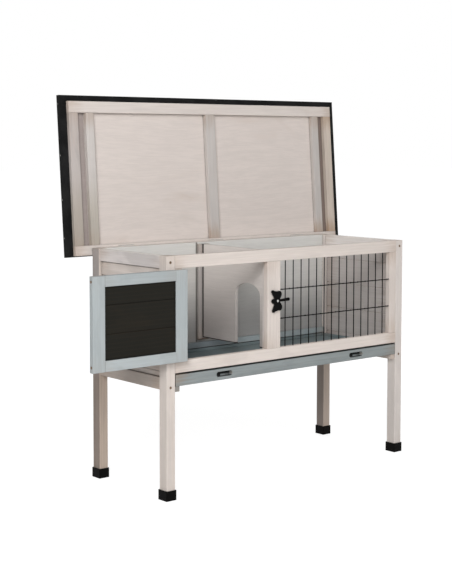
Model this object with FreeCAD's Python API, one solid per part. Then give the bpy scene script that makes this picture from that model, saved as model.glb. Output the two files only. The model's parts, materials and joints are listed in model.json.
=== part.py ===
import FreeCAD, Part
import math
import os

# A raised wooden guinea pig hutch: an open box on four legs, with a front door, a wire front,
# a divider with a doorway, a tray that slides out below and a lid hinged at the back.
# Millimetres. X runs to the right along the front, Y to the back, Z up.
# The sizes below count from the outer front corner of the front left post, on the floor.
# Each saved solid is shifted so that the origin is the middle of that post's foot.
# The pose built here has the lid stood open on its stop and the door folded right back.

V = FreeCAD.Vector
X_AXIS = V(1, 0, 0)
Y_AXIS = V(0, 1, 0)
Z_AXIS = V(0, 0, 1)

# Whole body
body_width = 840.0
body_depth = 320.0
body_height = 605.0
wood_round = 1.2

# Posts and their plastic feet
post_width = 26.0
post_depth = 30.0
foot_height = 25.0
foot_wall = 2.5
foot_floor = 3.0
foot_round = 1.5

# Front frame
front_thickness = 15.0
top_rail_height = 32.0
front_sill_height = 30.0
left_stile_width = 22.0
middle_stile_width = 45.0
right_stile_width = 26.0
door_bay_width = 281.0

# Side walls
side_rail_thickness = 18.0
side_rail_inset = 3.0
side_sill_bottom = 273.0
side_sill_height = 31.0
board_thickness = 8.0
board_pitch = 73.0
board_first_joint = 68.0
board_groove = 1.6
least_board_height = 6.0

# Back wall
back_rail_thickness = 15.0
back_panel_thickness = 6.0

# Tray and the runners that carry it
tray_bottom = 282.0
tray_height = 30.0
tray_gap = 3.0
tray_side_play = 2.0
tray_back_play = 4.0
tray_front_thickness = 12.0
tray_wall_thickness = 8.0
tray_wall_drop = 1.0
tray_floor_thickness = 4.0
tray_floor_lift = 17.0
tray_inner_front_thickness = 6.0
finger_room = 10.0
hand_slot_length = 52.0
hand_slot_height = 13.0
hand_slot_from_centre = 236.0
runner_width = 16.0
runner_height = 13.5
runner_play = 0.2
runner_front_inset = 3.0

# Divider between the two rooms
divider_thickness = 9.0
divider_play = 2.0
divider_end_play = 1.0
divider_bottom = 341.0
divider_top_drop = 5.0
cleat_width = 12.0
cleat_depth = 10.0
cleat_stop_height = 6.0
kick_strip_thickness = 12.0
kick_strip_height = 15.0
kick_strip_rise = 1.0
doorway_width = 100.0
doorway_from_front = 51.0
doorway_side_height = 135.0
doorway_rise = 32.0

# Wire front of the right hand room
wire_radius = 1.4
wire_pitch = 28.4
wire_least_end_gap = 15.0
wire_row_count = 2
wire_setback = 6.4
wire_weld = 0.3
wire_seat_depth = 8.0
wire_hole_play = 0.1

# Front door
door_play = 1.0
door_thickness = 14.0
door_stile_width = 35.0
door_rail_height = 26.0
door_board_thickness = 7.0
door_board_pitch = 68.5
door_top_board_height = 43.6
door_board_groove = 1.2

# Hinges
knuckle_count = 3
knuckle_gap = 0.3
pin_radius = 1.2
pin_play = 0.05
door_hinge_length = 45.0
door_hinge_end_margin = 24.0
door_hinge_leaf_width = 18.0
door_hinge_leaf_thickness = 1.5
door_hinge_radius = 3.0
door_hinge_stand_off = 4.2
lid_hinge_length = 50.0
lid_hinge_from_side = 110.0
lid_hinge_leaf_width = 15.0
lid_hinge_leaf_thickness = 1.2
lid_hinge_radius = 2.4
lid_hinge_stand_off = 1.8
lid_hinge_groove_play = 0.4
hinge_screw_radius = 1.5
hinge_screw_length = 9.0
hinge_screw_spacing = 30.0

# Lid
lid_width = 986.0
lid_depth = 422.0
lid_rear_overhang = 22.0
lid_seat_play = 0.3
lid_open_angle = 94.5
lid_frame_thickness = 13.0
lid_deck_thickness = 8.0
felt_thickness = 2.0
felt_edge_round = 1.8
felt_margin = 16.0
felt_side_margin = 22.0
lid_rear_margin = 2.5
lid_front_rail_width = 30.0
lid_back_rail_width = 26.0
lid_stile_width = 28.0
lid_side_batten_width = 25.0
lid_batten_gap = 24.0
lid_middle_batten_width = 32.0

# Turn button that holds the door shut
button_thickness = 4.0
button_boss_height = 2.0
button_boss_radius = 6.0
button_arm_start = (6.0, 3.0)
button_arm_length = 38.5
button_arm_radius = 4.3
button_head_reach = 13.0
button_head_radius = 6.2
button_waist_radius = 5.0
button_broad_wing = (6.0, 17.0, 9.0)
button_narrow_wing = (-14.5, 25.5, 4.2)
button_web_radii = (2.6, 6.8)
button_lean = 3.0
button_right_of_stile_centre = 8.0
button_above_sill = 124.0

# Screws
screw_radius = 1.7
screw_head_radius = 3.5
screw_head_depth = 2.0
screw_play = 0.05
post_screw_length = 46.0
lower_screw_rise = 8.0
door_screw_length = 50.0
button_screw_dome = 2.0
button_screw_grip = 12.0

# Places that follow from the sizes above
body_right_inner = body_width - post_width
rear_post_front = body_depth - post_depth
top_rail_bottom = body_height - top_rail_height
sill_bottom = tray_bottom + tray_height + tray_gap
sill_top = sill_bottom + front_sill_height
left_stile_right = post_width + left_stile_width
middle_stile_left = left_stile_right + door_bay_width
middle_stile_right = middle_stile_left + middle_stile_width
middle_stile_centre = middle_stile_left + middle_stile_width / 2
right_stile_left = body_right_inner - right_stile_width
side_rail_inner = side_rail_inset + side_rail_thickness
side_sill_top = side_sill_bottom + side_sill_height
back_rail_front = body_depth - back_rail_thickness
back_panel_front = back_rail_front - back_panel_thickness
slot_half = divider_thickness / 2 + divider_play
door_axis_x = left_stile_right + door_play / 2
door_axis_y = -door_hinge_stand_off
lid_axis_y = body_depth + lid_hinge_stand_off
lid_axis_z = body_height + lid_seat_play
lid_left = (body_width - lid_width) / 2
lid_right = lid_left + lid_width
lid_back = lid_axis_y + lid_rear_overhang
lid_front = lid_back - lid_depth
lid_deck_bottom = lid_axis_z + lid_frame_thickness
lid_frame_left = lid_left + felt_side_margin
lid_frame_right = lid_right - felt_side_margin
lid_frame_front = lid_front + felt_margin
lid_frame_back = lid_back - lid_rear_margin
button_x = middle_stile_centre + button_right_of_stile_centre
button_z = sill_top + button_above_sill
button_back = -button_boss_height
button_front = button_back - button_thickness


def save(name, *solids):
    """Writes one sub-part about the origin, after a look at its solids."""
    shape = solids[0].copy() if len(solids) == 1 else Part.makeCompound(list(solids))
    shape.translate(V(-post_width / 2, -post_depth / 2, 0))
    for solid in shape.Solids:
        if not solid.isValid() or solid.Volume <= 0:
            raise ValueError(name + " has a bad solid")
    shape.exportStep("parts/" + name + ".step")
    print(name, len(shape.Solids), round(shape.Volume / 1000, 2), "cm3")


def box(x0, x1, y0, y1, z0, z1):
    return Part.makeBox(x1 - x0, y1 - y0, z1 - z0, V(x0, y0, z0))


def rod(start, direction, radius, length):
    return Part.makeCylinder(radius, length, start, direction)


def long_edges(shape, direction):
    """The straight edges of a shape that run along a direction."""
    found = []
    for edge in shape.Edges:
        ends = [v.Point for v in edge.Vertexes]
        if len(ends) == 2 and abs(abs((ends[1] - ends[0]).normalize().dot(direction)) - 1) < 1e-6:
            found.append(edge)
    return found


def timber(x0, x1, y0, y1, z0, z1, direction, size=wood_round):
    """A sawn length of wood with its long corners eased."""
    plain = box(x0, x1, y0, y1, z0, z1)
    limit = min(x1 - x0, y1 - y0, z1 - z0) / 4
    return plain.makeFillet(min(size, limit), long_edges(plain, direction))


def grooved_board(x0, x1, y0, y1, z0, z1, direction, size):
    """A board whose long corners are cut off, so that a stack shows a groove at each joint."""
    plain = box(x0, x1, y0, y1, z0, z1)
    limit = min(x1 - x0, y1 - y0, z1 - z0) / 4
    return plain.makeChamfer(min(size, limit), long_edges(plain, direction))


def mirrored_x(shape):
    """The same shape on the other side of the body's middle."""
    return shape.mirror(V(body_width / 2, 0, 0), X_AXIS)


def board_stack(bottom, top, first_joint, pitch):
    """The lower and upper edge of each board between two heights."""
    edges = [top]
    joint = first_joint
    while joint > bottom + least_board_height:
        edges.append(joint)
        joint -= pitch
    edges.append(bottom)
    return [(low, high) for high, low in zip(edges, edges[1:])]


# Screws

def screw(head, direction, length, radius=screw_radius, head_radius=screw_head_radius):
    """A countersunk screw whose flat head is flush at a point."""
    shank = rod(head, direction, radius, length)
    return shank.fuse(rod(head, direction, head_radius, screw_head_depth))


def screw_hole(head, direction, length):
    """What is drilled away for such a screw, with its play."""
    start = head - direction * screw_play
    shank = rod(start, direction, screw_radius + screw_play, length + 2 * screw_play)
    seat_depth = screw_head_depth + screw_play
    return shank.fuse(rod(start, direction, screw_head_radius + screw_play, seat_depth))


def post_screw_places():
    """Head and direction of each screw that ties a side rail to a post."""
    rail_middle = side_rail_inset + side_rail_thickness / 2
    places = []
    for z in (side_sill_bottom + lower_screw_rise, body_height - top_rail_height / 2):
        for x in (rail_middle, body_width - rail_middle):
            places.append((V(x, 0, z), Y_AXIS))
            places.append((V(x, body_depth, z), -Y_AXIS))
    return places


def drilled(shape):
    """A post or side rail with the holes of its screws."""
    for head, direction in post_screw_places():
        shape = shape.cut(screw_hole(head, direction, post_screw_length))
    return shape


# Frame of the body

def post(x0, y0):
    piece = timber(x0, x0 + post_width, y0, y0 + post_depth, foot_floor, body_height, Z_AXIS)
    return drilled(piece)


def foot(x0, y0):
    """A plastic cap with the post's end standing in it."""
    outer = box(x0 - foot_wall, x0 + post_width + foot_wall,
                y0 - foot_wall, y0 + post_depth + foot_wall, 0, foot_height)
    outer = outer.makeFillet(foot_round, long_edges(outer, Z_AXIS))
    return outer.cut(box(x0, x0 + post_width, y0, y0 + post_depth, foot_floor, foot_height))


def front_rail(z0, z1):
    return timber(post_width, body_right_inner, 0, front_thickness, z0, z1, X_AXIS)


def front_stile(x0, x1):
    return timber(x0, x1, 0, front_thickness, sill_top, top_rail_bottom, Z_AXIS)


def back_rail(z0, z1):
    return timber(post_width, body_right_inner, back_rail_front, body_depth, z0, z1, X_AXIS)


def side_rail(z0, z1):
    piece = timber(side_rail_inset, side_rail_inner, post_depth, rear_post_front, z0, z1, Y_AXIS)
    return drilled(piece)


def side_boards():
    """The stack of boards between a side wall's rails."""
    x0 = side_rail_inset + (side_rail_thickness - board_thickness) / 2
    stack = board_stack(side_sill_top, top_rail_bottom, body_height - board_first_joint, board_pitch)
    return [
        grooved_board(x0, x0 + board_thickness, post_depth, rear_post_front, low, high,
                      Y_AXIS, board_groove)
        for low, high in stack
    ]


def back_panel():
    return box(post_width, body_right_inner, back_panel_front, back_rail_front,
               side_sill_bottom, body_height)


def back_kick_strip():
    """The strip on the back wall that covers the gap above the tray's back."""
    bottom = tray_bottom + tray_height + kick_strip_rise
    return timber(post_width, body_right_inner, back_panel_front - kick_strip_thickness, back_panel_front,
                  bottom, bottom + kick_strip_height, X_AXIS)


# Wire front

def wire_columns():
    """As many upright wires as the bay takes, about its middle."""
    bay = right_stile_left - middle_stile_right
    gaps = int((bay - 2 * wire_least_end_gap) / wire_pitch)
    first = middle_stile_right + (bay - gaps * wire_pitch) / 2
    return [first + wire_pitch * i for i in range(gaps + 1)]


def wire_rows():
    step = (top_rail_bottom - sill_top) / (wire_row_count + 1)
    return [sill_top + step * (i + 1) for i in range(wire_row_count)]


def upright_wire(x, play=0.0):
    reach = wire_seat_depth + play
    start = V(x, wire_setback, sill_top - reach)
    return rod(start, Z_AXIS, wire_radius + play, top_rail_bottom - sill_top + 2 * reach)


def cross_wire(z, play=0.0):
    reach = wire_seat_depth + play
    start = V(middle_stile_right - reach, wire_setback - 2 * wire_radius + wire_weld, z)
    return rod(start, X_AXIS, wire_radius + play, right_stile_left - middle_stile_right + 2 * reach)


def wire_front():
    wires = [upright_wire(x) for x in wire_columns()] + [cross_wire(z) for z in wire_rows()]
    return wires[0].multiFuse(wires[1:])


def drilled_for_uprights(rail):
    return rail.cut([upright_wire(x, wire_hole_play) for x in wire_columns()])


def drilled_for_rows(stile):
    return stile.cut([cross_wire(z, wire_hole_play) for z in wire_rows()])


# Divider

def doorway():
    """The arched hole, as a solid that runs through the divider."""
    y0 = doorway_from_front
    y1 = y0 + doorway_width
    low = divider_bottom - divider_play
    spring = divider_bottom + doorway_side_height
    centre = V(0, (y0 + y1) / 2, spring)
    side = centre + V(0, doorway_width / 2, 0)
    peak = centre + V(0, 0, doorway_rise)
    ends = (side, peak) if doorway_rise < doorway_width / 2 else (peak, side)
    oval = Part.Ellipse(ends[0], ends[1], centre).toShape()
    cut_length = divider_thickness * 3
    head = Part.Face(Part.Wire([oval])).extrude(V(cut_length, 0, 0))
    hole = head.fuse(box(0, cut_length, y0, y1, low, spring))
    hole.translate(V(middle_stile_centre - cut_length / 2, 0, 0))
    return hole


def divider():
    half = divider_thickness / 2
    board = box(middle_stile_centre - half, middle_stile_centre + half,
                front_thickness + divider_end_play, back_panel_front - divider_end_play,
                divider_bottom, body_height - divider_top_drop)
    return board.cut(doorway())


def divider_cleats():
    """Two pairs of strips that make the divider's slots, and the two stops it stands on."""
    pieces = []
    bottom = divider_bottom - cleat_stop_height
    top = body_height - divider_top_drop
    ends = ((front_thickness, front_thickness + cleat_depth),
            (back_panel_front - cleat_depth, back_panel_front))
    for y0, y1 in ends:
        left = middle_stile_centre - slot_half
        right = middle_stile_centre + slot_half
        pieces.append(timber(left - cleat_width, left, y0, y1, bottom, top, Z_AXIS))
        pieces.append(timber(right, right + cleat_width, y0, y1, bottom, top, Z_AXIS))
        pieces.append(box(left, right, y0, y1, bottom, divider_bottom))
    return pieces


# Tray

tray_left = post_width + tray_side_play
tray_right = body_right_inner - tray_side_play
tray_back = back_panel_front - tray_back_play
tray_top = tray_bottom + tray_height
tray_wall_top = tray_top - tray_wall_drop
tray_inner_front_back = tray_front_thickness + finger_room + tray_inner_front_thickness


def hand_slot(x):
    """A slot with round ends, through the tray's front."""
    z = tray_bottom + tray_height / 2
    radius = hand_slot_height / 2
    straight = hand_slot_length / 2 - radius
    y0 = -tray_front_thickness
    depth = tray_front_thickness * 3
    middle = box(x - straight, x + straight, y0, y0 + depth, z - radius, z + radius)
    ends = [rod(V(x + side * straight, y0, z), Y_AXIS, radius, depth) for side in (-1, 1)]
    return middle.multiFuse(ends)


def tray_front():
    board = timber(tray_left, tray_right, 0, tray_front_thickness, tray_bottom, tray_top, X_AXIS)
    centre = body_width / 2
    return board.cut([hand_slot(centre + s * hand_slot_from_centre) for s in (-1, 1)])


def tray_side():
    return timber(tray_left, tray_left + tray_wall_thickness, tray_front_thickness, tray_back,
                  tray_bottom, tray_wall_top, Y_AXIS)


def tray_rear():
    return timber(tray_left + tray_wall_thickness, tray_right - tray_wall_thickness,
                  tray_back - tray_wall_thickness, tray_back, tray_bottom, tray_wall_top, X_AXIS)


def tray_inner_front():
    """The tray's own front wall, with room for fingers between it and the board with the slots."""
    return timber(tray_left + tray_wall_thickness, tray_right - tray_wall_thickness,
                  tray_front_thickness + finger_room, tray_inner_front_back,
                  tray_bottom, tray_wall_top, X_AXIS)


def tray_floor():
    low = tray_bottom + tray_floor_lift
    return box(tray_left + tray_wall_thickness, tray_right - tray_wall_thickness,
               tray_inner_front_back, tray_back - tray_wall_thickness, low, low + tray_floor_thickness)


def runner():
    top = tray_bottom - runner_play
    return timber(post_width, post_width + runner_width, runner_front_inset, back_panel_front,
                  top - runner_height, top, Y_AXIS)


# Hinges

def knuckle_spans(length):
    """Start and end of each knuckle along a hinge."""
    pitch = length / knuckle_count
    half_gap = knuckle_gap / 2
    return [(i * pitch + half_gap, (i + 1) * pitch - half_gap) for i in range(knuckle_count)]


def hinge_leaf(start, direction, length, radius, plate, web, turn):
    """A plate with every second knuckle from turn on, each joined to it by a web."""
    leaf = plate
    for i, (low, high) in enumerate(knuckle_spans(length)):
        if i % 2 == turn:
            leaf = leaf.fuse(rod(start + direction * low, direction, radius, high - low))
            leaf = leaf.fuse(web(low, high))
    bore = rod(start - direction * length, direction, pin_radius + pin_play, 3 * length)
    return leaf.cut(bore).removeSplitter()


def hinge_pin(start, direction, length):
    return rod(start, direction, pin_radius, length)


def screw_pair(middle, along, direction, spacing=hinge_screw_spacing):
    """The two screws of a hinge leaf."""
    places = [middle - along * (spacing / 2), middle + along * (spacing / 2)]
    return [rod(p, direction, hinge_screw_radius, hinge_screw_length) for p in places]


def drilled_for_pair(shape, middle, along, direction):
    places = [middle - along * (hinge_screw_spacing / 2), middle + along * (hinge_screw_spacing / 2)]
    radius = hinge_screw_radius + screw_play
    depth = hinge_screw_length + screw_play
    return shape.cut([rod(p, direction, radius, depth) for p in places])


# Door hinges. The door is built shut and then folded back about its hinge line.

def door_hinge_starts():
    low = sill_top + door_play + door_hinge_end_margin
    high = top_rail_bottom - door_play - door_hinge_end_margin - door_hinge_length
    return [V(door_axis_x, door_axis_y, z) for z in (low, high)]


def door_leaf(start, side, turn):
    """The leaf on the frame (side -1) or on the shut door (side 1)."""
    near = side * (door_hinge_radius + knuckle_gap)
    far = side * door_hinge_leaf_width
    x0, x1 = sorted((start.x + near, start.x + far))
    z0 = start.z
    plate = box(x0, x1, -door_hinge_leaf_thickness, 0, z0, z0 + door_hinge_length)

    def web(low, high):
        inner, outer = sorted((start.x, start.x + near))
        return box(inner, outer, -door_hinge_leaf_thickness, 0, z0 + low, z0 + high)

    return hinge_leaf(start, Z_AXIS, door_hinge_length, door_hinge_radius, plate, web, turn)


def door_leaf_screw_middle(start, side):
    across = side * (door_hinge_radius + door_hinge_leaf_width) / 2
    return V(start.x + across, -door_hinge_leaf_thickness, start.z + door_hinge_length / 2)


def folded_back(shape):
    """Turns a piece of the shut door to the pose built here."""
    turned = shape.copy()
    turned.rotate(V(door_axis_x, door_axis_y, 0), Z_AXIS, -180)
    return turned


# Door

door_left = left_stile_right + door_play
door_right = middle_stile_left - door_play
door_bottom = sill_top + door_play
door_top = top_rail_bottom - door_play
door_panel_left = door_left + door_stile_width
door_panel_right = door_right - door_stile_width
door_panel_bottom = door_bottom + door_rail_height
door_panel_top = door_top - door_rail_height


def door_screw_places():
    """Head and direction of each screw through a door stile into the end of a rail."""
    y = door_thickness / 2
    heights = (door_bottom + door_rail_height / 2, door_top - door_rail_height / 2)
    return [place for z in heights
            for place in ((V(door_left, y, z), X_AXIS), (V(door_right, y, z), -X_AXIS))]


def door_drilled(shape):
    for head, direction in door_screw_places():
        shape = shape.cut(screw_hole(head, direction, door_screw_length))
    return shape


def door_stile(x0):
    piece = timber(x0, x0 + door_stile_width, 0, door_thickness, door_bottom, door_top, Z_AXIS)
    piece = door_drilled(piece)
    if x0 == door_left:
        for start in door_hinge_starts():
            piece = drilled_for_pair(piece, door_leaf_screw_middle(start, 1), Z_AXIS, Y_AXIS)
    return piece


def door_rail(z0):
    return door_drilled(timber(door_panel_left, door_panel_right, 0, door_thickness,
                               z0, z0 + door_rail_height, X_AXIS))


def door_boards():
    y0 = (door_thickness - door_board_thickness) / 2
    stack = board_stack(door_panel_bottom, door_panel_top,
                        door_panel_top - door_top_board_height, door_board_pitch)
    return [
        grooved_board(door_panel_left, door_panel_right, y0, y0 + door_board_thickness,
                      low, high, X_AXIS, door_board_groove)
        for low, high in stack
    ]


# Lid hinges. The lid is built shut and then stood up about its hinge line.

def lid_hinge_starts():
    reach = lid_hinge_length / 2
    middles = (lid_hinge_from_side, body_width / 2, body_width - lid_hinge_from_side)
    return [V(x - reach, lid_axis_y, lid_axis_z) for x in middles]


def lid_hinge_groove(start):
    """The room that the knuckles turn in."""
    return rod(start, X_AXIS, lid_hinge_radius + lid_hinge_groove_play, lid_hinge_length)


def lid_hinge_body_leaf(start):
    """The leaf let in to the back of the body's top rail."""
    x1 = start.x + lid_hinge_length
    thick = lid_hinge_leaf_thickness
    plate = box(start.x, x1, body_depth - thick, body_depth,
                body_height - lid_hinge_leaf_width, body_height).cut(lid_hinge_groove(start))

    def web(low, high):
        return box(start.x + low, start.x + high, body_depth - thick, lid_axis_y,
                   body_height - thick, body_height)

    return hinge_leaf(start, X_AXIS, lid_hinge_length, lid_hinge_radius, plate, web, 0)


def lid_hinge_lid_leaf(start):
    """The leaf let in to the under side of the lid's back rail."""
    x1 = start.x + lid_hinge_length
    near = lid_axis_y + lid_hinge_radius + knuckle_gap
    thick = lid_hinge_leaf_thickness
    plate = box(start.x, x1, near, lid_axis_y + lid_hinge_leaf_width, lid_axis_z, lid_axis_z + thick)

    def web(low, high):
        return box(start.x + low, start.x + high, lid_axis_y, near, lid_axis_z, lid_axis_z + thick)

    return hinge_leaf(start, X_AXIS, lid_hinge_length, lid_hinge_radius, plate, web, 1)


def lid_body_screw_middle(start):
    return V(start.x + lid_hinge_length / 2, body_depth, body_height - lid_hinge_leaf_width / 2)


def lid_leaf_screw_middle(start):
    across = (lid_hinge_radius + lid_hinge_leaf_width) / 2
    return V(start.x + lid_hinge_length / 2, lid_axis_y + across, lid_axis_z)


def stood_up(shape):
    """Turns a piece of the shut lid to the pose built here."""
    turned = shape.copy()
    turned.rotate(V(0, lid_axis_y, lid_axis_z), X_AXIS, -lid_open_angle)
    return turned


def back_top_rail():
    """The rail that carries the lid's hinges, let in for their leaves."""
    rail = back_rail(top_rail_bottom, body_height)
    for start in lid_hinge_starts():
        rail = rail.cut(box(start.x, start.x + lid_hinge_length,
                            body_depth - lid_hinge_leaf_thickness, body_depth,
                            body_height - lid_hinge_leaf_width, body_height))
        rail = rail.cut(lid_hinge_groove(start))
        rail = drilled_for_pair(rail, lid_body_screw_middle(start), X_AXIS, -Y_AXIS)
    return rail


# Lid

def lid_deck():
    return box(lid_left + felt_thickness, lid_right - felt_thickness,
               lid_front + felt_thickness, lid_back - felt_thickness,
               lid_deck_bottom, lid_deck_bottom + lid_deck_thickness)


def lid_felt():
    """Roofing felt over the deck, turned down its edges and in under its rim."""
    low = lid_deck_bottom - felt_thickness
    high = lid_deck_bottom + lid_deck_thickness + felt_thickness
    outer = box(lid_left, lid_right, lid_front, lid_back, low, high)
    top_edges = [e for e in outer.Edges if min(v.Z for v in e.Vertexes) > high - felt_thickness / 2]
    outer = outer.makeFillet(felt_edge_round, top_edges)
    under = box(lid_frame_left, lid_frame_right, lid_frame_front, lid_frame_back,
                low, lid_deck_bottom)
    return outer.cut([lid_deck(), under])


def lid_timber(x0, x1, y0, y1, direction):
    return timber(x0, x1, y0, y1, lid_axis_z, lid_deck_bottom, direction)


def lid_front_rail():
    return lid_timber(lid_frame_left, lid_frame_right, lid_frame_front,
                      lid_frame_front + lid_front_rail_width, X_AXIS)


def lid_back_rail():
    rail = lid_timber(lid_frame_left, lid_frame_right,
                      lid_frame_back - lid_back_rail_width, lid_frame_back, X_AXIS)
    for start in lid_hinge_starts():
        x1 = start.x + lid_hinge_length
        rail = rail.cut(box(start.x, x1, lid_axis_y, lid_axis_y + lid_hinge_leaf_width,
                            lid_axis_z, lid_axis_z + lid_hinge_leaf_thickness))
        rail = rail.cut(lid_hinge_groove(start))
        rail = drilled_for_pair(rail, lid_leaf_screw_middle(start), X_AXIS, Z_AXIS)
    return rail


def lid_between_rails(x0, x1):
    return lid_timber(x0, x1, lid_frame_front + lid_front_rail_width,
                      lid_frame_back - lid_back_rail_width, Y_AXIS)


# Turn button

def tapered(x0, z0, r0, x1, z1, r1):
    """A flat lobe that widens from one round end to the other."""
    ends = [rod(V(x, 0, z), -Y_AXIS, r, button_thickness) for x, z, r in ((x0, z0, r0), (x1, z1, r1))]
    run = V(x1 - x0, 0, z1 - z0)
    lean = math.acos((r0 - r1) / run.Length)
    heading = math.atan2(run.z, run.x)
    corners = []
    for turn, order in ((1, ((x0, z0, r0), (x1, z1, r1))), (-1, ((x1, z1, r1), (x0, z0, r0)))):
        angle = heading + turn * lean
        corners += [V(x + r * math.cos(angle), 0, z + r * math.sin(angle)) for x, z, r in order]
    web = Part.Face(Part.makePolygon(corners + [corners[0]]))
    return web.extrude(V(0, -button_thickness, 0)).multiFuse(ends)


def turn_button():
    """A plastic button shaped like a butterfly, with one long arm."""
    waist = (0, 0, button_waist_radius)
    lobes = [
        tapered(button_arm_start[0], 0, button_arm_start[1], button_arm_length, 0, button_arm_radius),
        tapered(*waist, -button_head_reach, 0, button_head_radius),
    ]
    for x, z, r in (button_broad_wing, button_narrow_wing):
        lobes.append(tapered(*waist, x, z, r))
        lobes.append(tapered(*waist, x, -z, r))
    x0, z0, _ = button_broad_wing
    x1, z1, _ = button_narrow_wing
    r1, r0 = button_web_radii
    for side in (1, -1):
        lobes.append(tapered(x0, side * z0, r0, x1, side * z1, r1))
    body = lobes[0].multiFuse(lobes[1:]).removeSplitter()
    body.translate(V(0, button_back, 0))
    body = body.fuse(rod(V(0, 0, 0), -Y_AXIS, button_boss_radius, button_boss_height))
    depth = button_thickness + button_boss_height
    body = body.cut(rod(V(0, depth, 0), -Y_AXIS, screw_radius + screw_play, 3 * depth))
    body.rotate(V(0, 0, 0), Y_AXIS, -button_lean)
    body.translate(V(button_x, 0, button_z))
    return body


def turn_button_screw():
    """A round headed screw through the button into the middle stile."""
    centre = V(button_x, button_front, button_z)
    length = button_thickness + button_boss_height + button_screw_grip
    rise = button_screw_dome
    ball_radius = (screw_head_radius ** 2 + rise ** 2) / (2 * rise)
    ball = Part.makeSphere(ball_radius, centre + V(0, ball_radius - rise, 0))
    dome = ball.common(rod(centre, -Y_AXIS, 2 * screw_head_radius, 2 * rise))
    return dome.fuse(rod(centre, Y_AXIS, screw_radius, length))


def middle_stile():
    stile = drilled_for_rows(front_stile(middle_stile_left, middle_stile_right))
    pilot = rod(V(button_x, 0, button_z), Y_AXIS, screw_radius + screw_play,
                button_screw_grip + screw_play)
    return stile.cut(pilot)


def left_stile():
    stile = front_stile(post_width, left_stile_right)
    for start in door_hinge_starts():
        stile = drilled_for_pair(stile, door_leaf_screw_middle(start, -1), Z_AXIS, Y_AXIS)
    return stile


# Writing the sub-parts

def write_frame():
    corners = {
        "front_left": (0, 0),
        "front_right": (body_right_inner, 0),
        "rear_left": (0, rear_post_front),
        "rear_right": (body_right_inner, rear_post_front),
    }
    for name, (x0, y0) in corners.items():
        save(name + "_post", post(x0, y0))
        save(name + "_foot", foot(x0, y0))
    save("front_top_rail", drilled_for_uprights(front_rail(top_rail_bottom, body_height)))
    save("front_sill", drilled_for_uprights(front_rail(sill_bottom, sill_top)))
    save("left_stile", left_stile())
    save("middle_stile", middle_stile())
    save("right_stile", drilled_for_rows(front_stile(right_stile_left, body_right_inner)))
    save("wire_front", wire_front())
    boards = side_boards()
    rails = {
        "top_rail": side_rail(top_rail_bottom, body_height),
        "sill": side_rail(side_sill_bottom, side_sill_top),
        "tray_runner": runner(),
    }
    for name, piece in rails.items():
        save("left_" + name, piece)
        save("right_" + name, mirrored_x(piece))
    save("left_wall_boards", *boards)
    save("right_wall_boards", *[mirrored_x(b) for b in boards])
    save("back_top_rail", back_top_rail())
    save("back_sill", back_rail(side_sill_bottom, side_sill_top))
    save("back_panel", back_panel())
    save("divider", divider())
    save("divider_cleats", *divider_cleats())
    save("back_kick_strip", back_kick_strip())
    save("post_screws", *[screw(h, d, post_screw_length) for h, d in post_screw_places()])


def write_tray():
    save("tray_front", tray_front())
    side = tray_side()
    save("tray_left_side", side)
    save("tray_right_side", mirrored_x(side))
    save("tray_back", tray_rear())
    save("tray_inner_front", tray_inner_front())
    save("tray_floor", tray_floor())


def write_door():
    save("door_hinge_stile", folded_back(door_stile(door_left)))
    save("door_latch_stile", folded_back(door_stile(door_right - door_stile_width)))
    save("door_top_rail", folded_back(door_rail(door_panel_top)))
    save("door_bottom_rail", folded_back(door_rail(door_bottom)))
    save("door_boards", *[folded_back(b) for b in door_boards()])
    screws = [screw(h, d, door_screw_length) for h, d in door_screw_places()]
    save("door_screws", *[folded_back(s) for s in screws])


def write_hinges():
    fixed = []
    moving = []
    fixed_screws = []
    moving_screws = []
    pins = []
    for start in door_hinge_starts():
        middle = door_leaf_screw_middle(start, -1)
        fixed.append(drilled_for_pair(door_leaf(start, -1, 0), middle, Z_AXIS, Y_AXIS))
        fixed_screws += screw_pair(middle, Z_AXIS, Y_AXIS)
        middle = door_leaf_screw_middle(start, 1)
        moving.append(drilled_for_pair(door_leaf(start, 1, 1), middle, Z_AXIS, Y_AXIS))
        moving_screws += screw_pair(middle, Z_AXIS, Y_AXIS)
        pins.append(hinge_pin(start, Z_AXIS, door_hinge_length))
    save("door_hinge_frame_leaves", *fixed)
    save("door_hinge_door_leaves", *[folded_back(m) for m in moving])
    save("door_hinge_screws", *[folded_back(s) for s in moving_screws])
    fixed = []
    moving = []
    moving_screws = []
    for start in lid_hinge_starts():
        middle = lid_body_screw_middle(start)
        fixed.append(drilled_for_pair(lid_hinge_body_leaf(start), middle, X_AXIS, -Y_AXIS))
        fixed_screws += screw_pair(middle, X_AXIS, -Y_AXIS)
        middle = lid_leaf_screw_middle(start)
        moving.append(drilled_for_pair(lid_hinge_lid_leaf(start), middle, X_AXIS, Z_AXIS))
        moving_screws += screw_pair(middle, X_AXIS, Z_AXIS)
        pins.append(hinge_pin(start, X_AXIS, lid_hinge_length))
    save("lid_hinge_body_leaves", *fixed)
    save("lid_hinge_lid_leaves", *[stood_up(m) for m in moving])
    save("lid_hinge_screws", *[stood_up(s) for s in moving_screws])
    save("frame_hinge_screws", *fixed_screws)
    save("hinge_pins", *pins)


def write_lid():
    save("lid_deck", stood_up(lid_deck()))
    save("lid_felt", stood_up(lid_felt()))
    save("lid_front_rail", stood_up(lid_front_rail()))
    save("lid_back_rail", stood_up(lid_back_rail()))
    stile = lid_between_rails(lid_frame_left, lid_frame_left + lid_stile_width)
    save("lid_left_stile", stood_up(stile))
    save("lid_right_stile", stood_up(mirrored_x(stile)))
    batten_left = lid_frame_left + lid_stile_width + lid_batten_gap
    batten = lid_between_rails(batten_left, batten_left + lid_side_batten_width)
    save("lid_left_batten", stood_up(batten))
    save("lid_right_batten", stood_up(mirrored_x(batten)))
    half = lid_middle_batten_width / 2
    save("lid_middle_batten", stood_up(lid_between_rails(body_width / 2 - half, body_width / 2 + half)))


def write_button():
    save("turn_button", turn_button())
    save("turn_button_screw", turn_button_screw())


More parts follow.
